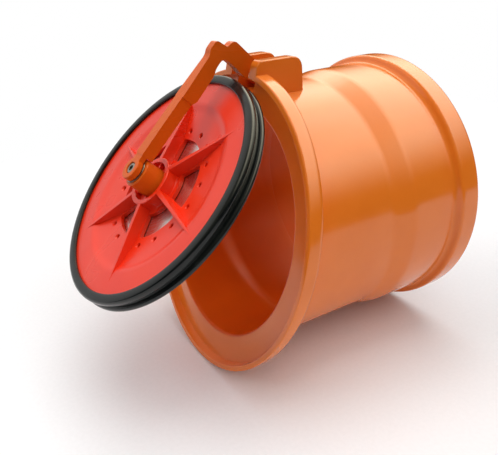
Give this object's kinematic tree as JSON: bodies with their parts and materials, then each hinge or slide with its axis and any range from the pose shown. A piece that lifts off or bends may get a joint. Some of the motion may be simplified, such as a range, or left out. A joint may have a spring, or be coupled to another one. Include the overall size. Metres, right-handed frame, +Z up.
{
  "type": "end flap valve for a drain pipe",
  "caption": "Push-on end flap valve for a drain pipe: slanted mouth on a socketed body, with a ribbed sealing flap hung from a gooseneck arm on a top hinge.",
  "frame": {"origin": "centre of the socket's open end face, on the pipe axis", "axes": "+Y along the pipe axis out of the socket, towards the pipe that holds the valve; -Y out of the flap mouth; +Z up to the hinge; X along the hinge pin"},
  "size_m": [0.19, 0.2408, 0.2084],
  "materials": {
    "orange_plastic": "smooth moulded PVC-U with a soft shine",
    "red_plastic": "smooth moulded plastic with a soft shine",
    "rubber": "moulded black rubber, slightly glossy on the lips",
    "steel": "plain stainless steel"
  },
  "bodies": {
    "housing": {"valve_body": "orange_plastic", "hinge_pin": "steel", "socket_seal": "rubber"},
    "arm": {"flap_arm": "orange_plastic", "swivel_boss": "orange_plastic", "centre_screw": "steel", "thrust_washer": "steel", "rear_washer": "steel", "lock_nut": "steel"},
    "flap": {"flap_disc": "red_plastic", "shield_plate": "steel", "seal_ring": "rubber", "back_plate": "red_plastic", "clamp_screw_1": "steel", "clamp_screw_2": "steel", "clamp_screw_3": "steel", "clamp_screw_4": "steel", "clamp_screw_5": "steel", "clamp_screw_6": "steel"}
  },
  "joints": [
    {"name": "flap_hinge", "type": "hinge", "parent": "housing", "child": "arm", "pos_m": [0, -0.103, 0.0885], "axis": [-1, 0, 0], "range_deg": [-31, 59]},
    {"name": "flap_swivel", "type": "hinge", "parent": "arm", "child": "flap", "pos_m": [0, -0.18597, 0.03817], "axis": [0, -0.7046, 0.7096], "continuous": true}
  ]
}
